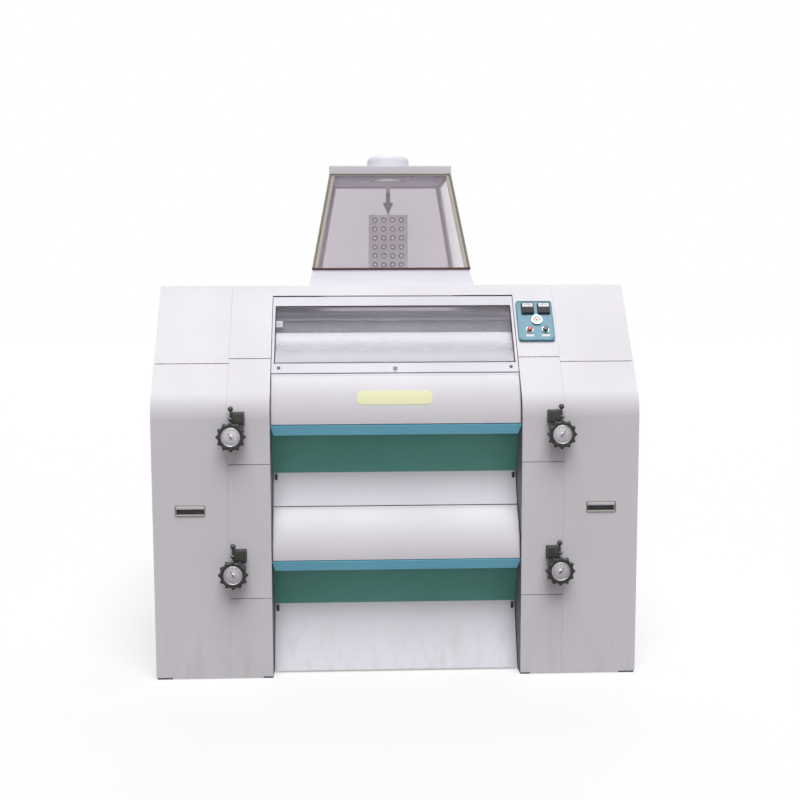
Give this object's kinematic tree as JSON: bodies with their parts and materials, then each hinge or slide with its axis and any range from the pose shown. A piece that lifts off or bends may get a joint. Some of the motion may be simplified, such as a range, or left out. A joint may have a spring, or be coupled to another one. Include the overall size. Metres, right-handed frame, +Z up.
{
  "type": "grain roller mill",
  "caption": "Double-sided floor-standing roller mill with a glazed hopper, hinged roll doors, feed windows and adjusting handwheels at the corners of the roll bays",
  "frame": {"origin": "on the floor under the middle of the machine", "axes": "+X along the rolls, front at -Y, +Z up"},
  "size_m": [1.96, 1.624, 2.198],
  "materials": {
    "paint": "satin powder coat",
    "green_paint": "satin",
    "blue_paint": "satin",
    "casting": "machined and painted",
    "chilled_iron": "ground and fluted",
    "sheet": "mill finish",
    "steel": "turned",
    "aluminium": "plain",
    "glass": "clear",
    "dark_frame": "satin",
    "dark_parts": "black enamel",
    "panel_blue": "satin",
    "red_button": "gloss",
    "black_button": "gloss"
  },
  "bodies": {
    "mill": {"main_frame": "casting", "product_chutes": "sheet", "column_panels": "paint", "top_cover": "paint", "cabinet_caps": "paint", "roll_guards": "green_paint", "lip_strips": "blue_paint", "lever_blocks": "dark_parts", "hopper_frame": "paint", "hopper_panes": "glass", "control_panel": "panel_blue"},
    "left_hood": {"left_hood": "paint"},
    "right_hood": {"right_hood": "paint"},
    "front_upper_fast_roll": {"front_upper_fast_roll": "chilled_iron"},
    "front_upper_roll_carrier": {"front_upper_roll_carrier": "casting"},
    "front_upper_slow_roll": {"front_upper_slow_roll": "chilled_iron"},
    "front_upper_roll_door": {"front_upper_roll_door": "paint"},
    "front_upper_flap": {"front_upper_flap": "paint"},
    "front_upper_left_handwheel": {"front_upper_left_handwheel": "dark_parts"},
    "front_upper_left_lock_lever": {"front_upper_left_lock_lever": "dark_parts"},
    "front_upper_right_handwheel": {"front_upper_right_handwheel": "dark_parts"},
    "front_upper_right_lock_lever": {"front_upper_right_lock_lever": "dark_parts"},
    "front_lower_fast_roll": {"front_lower_fast_roll": "chilled_iron"},
    "front_lower_roll_carrier": {"front_lower_roll_carrier": "casting"},
    "front_lower_slow_roll": {"front_lower_slow_roll": "chilled_iron"},
    "front_lower_roll_door": {"front_lower_roll_door": "paint"},
    "front_lower_flap": {"front_lower_flap": "paint"},
    "front_lower_left_handwheel": {"front_lower_left_handwheel": "dark_parts"},
    "front_lower_left_lock_lever": {"front_lower_left_lock_lever": "dark_parts"},
    "front_lower_right_handwheel": {"front_lower_right_handwheel": "dark_parts"},
    "front_lower_right_lock_lever": {"front_lower_right_lock_lever": "dark_parts"},
    "front_feed_roll": {"front_feed_roll": "steel"},
    "front_feed_gate": {"front_feed_gate": "steel"},
    "front_window": {"front_window_sash": "dark_frame", "front_window_pane": "glass"},
    "back_upper_fast_roll": {"back_upper_fast_roll": "chilled_iron"},
    "back_upper_roll_carrier": {"back_upper_roll_carrier": "casting"},
    "back_upper_slow_roll": {"back_upper_slow_roll": "chilled_iron"},
    "back_upper_roll_door": {"back_upper_roll_door": "paint"},
    "back_upper_flap": {"back_upper_flap": "paint"},
    "back_upper_left_handwheel": {"back_upper_left_handwheel": "dark_parts"},
    "back_upper_left_lock_lever": {"back_upper_left_lock_lever": "dark_parts"},
    "back_upper_right_handwheel": {"back_upper_right_handwheel": "dark_parts"},
    "back_upper_right_lock_lever": {"back_upper_right_lock_lever": "dark_parts"},
    "back_lower_fast_roll": {"back_lower_fast_roll": "chilled_iron"},
    "back_lower_roll_carrier": {"back_lower_roll_carrier": "casting"},
    "back_lower_slow_roll": {"back_lower_slow_roll": "chilled_iron"},
    "back_lower_roll_door": {"back_lower_roll_door": "paint"},
    "back_lower_flap": {"back_lower_flap": "paint"},
    "back_lower_left_handwheel": {"back_lower_left_handwheel": "dark_parts"},
    "back_lower_left_lock_lever": {"back_lower_left_lock_lever": "dark_parts"},
    "back_lower_right_handwheel": {"back_lower_right_handwheel": "dark_parts"},
    "back_lower_right_lock_lever": {"back_lower_right_lock_lever": "dark_parts"},
    "back_feed_roll": {"back_feed_roll": "steel"},
    "back_feed_gate": {"back_feed_gate": "steel"},
    "back_window": {"back_window_sash": "dark_frame", "back_window_pane": "glass"},
    "level_feeler": {"level_feeler": "aluminium"},
    "stop_button": {"stop_button": "red_button"},
    "start_button": {"start_button": "black_button"}
  },
  "joints": [
    {"name": "left_hood_slide", "type": "slide", "parent": "mill", "child": "left_hood", "axis": [-1, 0, 0], "range_m": [0, 0.32]},
    {"name": "right_hood_slide", "type": "slide", "parent": "mill", "child": "right_hood", "axis": [1, 0, 0], "range_m": [0, 0.32]},
    {"name": "front_upper_fast_roll_hinge", "type": "hinge", "parent": "mill", "child": "front_upper_fast_roll", "pos_m": [0, -0.2996, 1.12], "axis": [1, 0, 0], "continuous": true},
    {"name": "front_upper_roll_carrier_hinge", "type": "hinge", "parent": "mill", "child": "front_upper_roll_carrier", "pos_m": [0, -0.55, 0.92], "axis": [1, 0, 0], "range_deg": [0, 0.8]},
    {"name": "front_upper_slow_roll_hinge", "type": "hinge", "parent": "front_upper_roll_carrier", "child": "front_upper_slow_roll", "pos_m": [0, -0.55, 1.12], "axis": [1, 0, 0], "continuous": true},
    {"name": "front_upper_roll_door_hinge", "type": "hinge", "parent": "mill", "child": "front_upper_roll_door", "pos_m": [0, -0.668, 1.23], "axis": [-1, 0, 0], "range_deg": [0, 95]},
    {"name": "front_upper_flap_hinge", "type": "hinge", "parent": "mill", "child": "front_upper_flap", "pos_m": [0, -0.60065, 0.7855], "axis": [-1, 0, 0], "range_deg": [0, 60]},
    {"name": "front_upper_left_handwheel_hinge", "type": "hinge", "parent": "mill", "child": "front_upper_left_handwheel", "pos_m": [-0.657, -0.75, 1], "axis": [0, -1, 0], "range_deg": [-180, 180]},
    {"name": "front_upper_left_lock_lever_hinge", "type": "hinge", "parent": "mill", "child": "front_upper_left_lock_lever", "pos_m": [-0.6595, -0.768, 1.066], "axis": [1, 0, 0], "range_deg": [0, 60]},
    {"name": "front_upper_right_handwheel_hinge", "type": "hinge", "parent": "mill", "child": "front_upper_right_handwheel", "pos_m": [0.657, -0.75, 1], "axis": [0, -1, 0], "range_deg": [-180, 180]},
    {"name": "front_upper_right_lock_lever_hinge", "type": "hinge", "parent": "mill", "child": "front_upper_right_lock_lever", "pos_m": [0.6595, -0.768, 1.066], "axis": [1, 0, 0], "range_deg": [0, 60]},
    {"name": "front_lower_fast_roll_hinge", "type": "hinge", "parent": "mill", "child": "front_lower_fast_roll", "pos_m": [0, -0.2996, 0.565], "axis": [1, 0, 0], "continuous": true},
    {"name": "front_lower_roll_carrier_hinge", "type": "hinge", "parent": "mill", "child": "front_lower_roll_carrier", "pos_m": [0, -0.55, 0.365], "axis": [1, 0, 0], "range_deg": [0, 0.8]},
    {"name": "front_lower_slow_roll_hinge", "type": "hinge", "parent": "front_lower_roll_carrier", "child": "front_lower_slow_roll", "pos_m": [0, -0.55, 0.565], "axis": [1, 0, 0], "continuous": true},
    {"name": "front_lower_roll_door_hinge", "type": "hinge", "parent": "mill", "child": "front_lower_roll_door", "pos_m": [0, -0.65, 0.68], "axis": [-1, 0, 0], "range_deg": [0, 95]},
    {"name": "front_lower_flap_hinge", "type": "hinge", "parent": "mill", "child": "front_lower_flap", "pos_m": [0, -0.59952, 0.2305], "axis": [-1, 0, 0], "range_deg": [0, 60]},
    {"name": "front_lower_left_handwheel_hinge", "type": "hinge", "parent": "mill", "child": "front_lower_left_handwheel", "pos_m": [-0.657, -0.75, 0.445], "axis": [0, -1, 0], "range_deg": [-180, 180]},
    {"name": "front_lower_left_lock_lever_hinge", "type": "hinge", "parent": "mill", "child": "front_lower_left_lock_lever", "pos_m": [-0.6595, -0.768, 0.511], "axis": [1, 0, 0], "range_deg": [0, 60]},
    {"name": "front_lower_right_handwheel_hinge", "type": "hinge", "parent": "mill", "child": "front_lower_right_handwheel", "pos_m": [0.657, -0.75, 0.445], "axis": [0, -1, 0], "range_deg": [-180, 180]},
    {"name": "front_lower_right_lock_lever_hinge", "type": "hinge", "parent": "mill", "child": "front_lower_right_lock_lever", "pos_m": [0.6595, -0.768, 0.511], "axis": [1, 0, 0], "range_deg": [0, 60]},
    {"name": "front_feed_roll_hinge", "type": "hinge", "parent": "mill", "child": "front_feed_roll", "pos_m": [0, -0.497, 1.343], "axis": [1, 0, 0], "continuous": true},
    {"name": "front_feed_gate_hinge", "type": "hinge", "parent": "mill", "child": "front_feed_gate", "pos_m": [0, -0.428, 1.478], "axis": [1, 0, 0], "range_deg": [0, 12]},
    {"name": "front_window_hinge", "type": "hinge", "parent": "mill", "child": "front_window", "pos_m": [0, -0.46527, 1.54331], "axis": [-1, 0, 0], "range_deg": [0, 85]},
    {"name": "back_upper_fast_roll_hinge", "type": "hinge", "parent": "mill", "child": "back_upper_fast_roll", "pos_m": [0, 0.2996, 1.12], "axis": [-1, 0, 0], "continuous": true},
    {"name": "back_upper_roll_carrier_hinge", "type": "hinge", "parent": "mill", "child": "back_upper_roll_carrier", "pos_m": [0, 0.55, 0.92], "axis": [-1, 0, 0], "range_deg": [0, 0.8]},
    {"name": "back_upper_slow_roll_hinge", "type": "hinge", "parent": "back_upper_roll_carrier", "child": "back_upper_slow_roll", "pos_m": [0, 0.55, 1.12], "axis": [-1, 0, 0], "continuous": true},
    {"name": "back_upper_roll_door_hinge", "type": "hinge", "parent": "mill", "child": "back_upper_roll_door", "pos_m": [0, 0.668, 1.23], "axis": [1, 0, 0], "range_deg": [0, 95]},
    {"name": "back_upper_flap_hinge", "type": "hinge", "parent": "mill", "child": "back_upper_flap", "pos_m": [0, 0.60065, 0.7855], "axis": [1, 0, 0], "range_deg": [0, 60]},
    {"name": "back_upper_left_handwheel_hinge", "type": "hinge", "parent": "mill", "child": "back_upper_left_handwheel", "pos_m": [0.657, 0.75, 1], "axis": [0, 1, 0], "range_deg": [-180, 180]},
    {"name": "back_upper_left_lock_lever_hinge", "type": "hinge", "parent": "mill", "child": "back_upper_left_lock_lever", "pos_m": [0.6595, 0.768, 1.066], "axis": [-1, 0, 0], "range_deg": [0, 60]},
    {"name": "back_upper_right_handwheel_hinge", "type": "hinge", "parent": "mill", "child": "back_upper_right_handwheel", "pos_m": [-0.657, 0.75, 1], "axis": [0, 1, 0], "range_deg": [-180, 180]},
    {"name": "back_upper_right_lock_lever_hinge", "type": "hinge", "parent": "mill", "child": "back_upper_right_lock_lever", "pos_m": [-0.6595, 0.768, 1.066], "axis": [-1, 0, 0], "range_deg": [0, 60]},
    {"name": "back_lower_fast_roll_hinge", "type": "hinge", "parent": "mill", "child": "back_lower_fast_roll", "pos_m": [0, 0.2996, 0.565], "axis": [-1, 0, 0], "continuous": true},
    {"name": "back_lower_roll_carrier_hinge", "type": "hinge", "parent": "mill", "child": "back_lower_roll_carrier", "pos_m": [0, 0.55, 0.365], "axis": [-1, 0, 0], "range_deg": [0, 0.8]},
    {"name": "back_lower_slow_roll_hinge", "type": "hinge", "parent": "back_lower_roll_carrier", "child": "back_lower_slow_roll", "pos_m": [0, 0.55, 0.565], "axis": [-1, 0, 0], "continuous": true},
    {"name": "back_lower_roll_door_hinge", "type": "hinge", "parent": "mill", "child": "back_lower_roll_door", "pos_m": [0, 0.65, 0.68], "axis": [1, 0, 0], "range_deg": [0, 95]},
    {"name": "back_lower_flap_hinge", "type": "hinge", "parent": "mill", "child": "back_lower_flap", "pos_m": [0, 0.59952, 0.2305], "axis": [1, 0, 0], "range_deg": [0, 60]},
    {"name": "back_lower_left_handwheel_hinge", "type": "hinge", "parent": "mill", "child": "back_lower_left_handwheel", "pos_m": [0.657, 0.75, 0.445], "axis": [0, 1, 0], "range_deg": [-180, 180]},
    {"name": "back_lower_left_lock_lever_hinge", "type": "hinge", "parent": "mill", "child": "back_lower_left_lock_lever", "pos_m": [0.6595, 0.768, 0.511], "axis": [-1, 0, 0], "range_deg": [0, 60]},
    {"name": "back_lower_right_handwheel_hinge", "type": "hinge", "parent": "mill", "child": "back_lower_right_handwheel", "pos_m": [-0.657, 0.75, 0.445], "axis": [0, 1, 0], "range_deg": [-180, 180]},
    {"name": "back_lower_right_lock_lever_hinge", "type": "hinge", "parent": "mill", "child": "back_lower_right_lock_lever", "pos_m": [-0.6595, 0.768, 0.511], "axis": [-1, 0, 0], "range_deg": [0, 60]},
    {"name": "back_feed_roll_hinge", "type": "hinge", "parent": "mill", "child": "back_feed_roll", "pos_m": [0, 0.497, 1.343], "axis": [-1, 0, 0], "continuous": true},
    {"name": "back_feed_gate_hinge", "type": "hinge", "parent": "mill", "child": "back_feed_gate", "pos_m": [0, 0.428, 1.478], "axis": [-1, 0, 0], "range_deg": [0, 12]},
    {"name": "back_window_hinge", "type": "hinge", "parent": "mill", "child": "back_window", "pos_m": [0, 0.46527, 1.54331], "axis": [1, 0, 0], "range_deg": [0, 85]},
    {"name": "level_feeler_slide", "type": "slide", "parent": "mill", "child": "level_feeler", "axis": [0, 0, -1], "range_m": [0, 0.03], "stiffness_N_per_m": 500, "springref_m": -0.06},
    {"name": "stop_button_slide", "type": "slide", "parent": "mill", "child": "stop_button", "axis": [0, 0.8379, -0.5458], "range_m": [0, 0.004], "stiffness_N_per_m": 300, "springref_m": -0.002},
    {"name": "start_button_slide", "type": "slide", "parent": "mill", "child": "start_button", "axis": [0, 0.8379, -0.5458], "range_m": [0, 0.004], "stiffness_N_per_m": 300, "springref_m": -0.002}
  ],
  "couplings": [
    {"joint": "front_upper_slow_roll_hinge", "follows": "front_upper_fast_roll_hinge", "ratio": -0.78571},
    {"joint": "front_lower_slow_roll_hinge", "follows": "front_lower_fast_roll_hinge", "ratio": -0.78571},
    {"joint": "back_upper_slow_roll_hinge", "follows": "back_upper_fast_roll_hinge", "ratio": -0.78571},
    {"joint": "back_lower_slow_roll_hinge", "follows": "back_lower_fast_roll_hinge", "ratio": -0.78571}
  ]
}
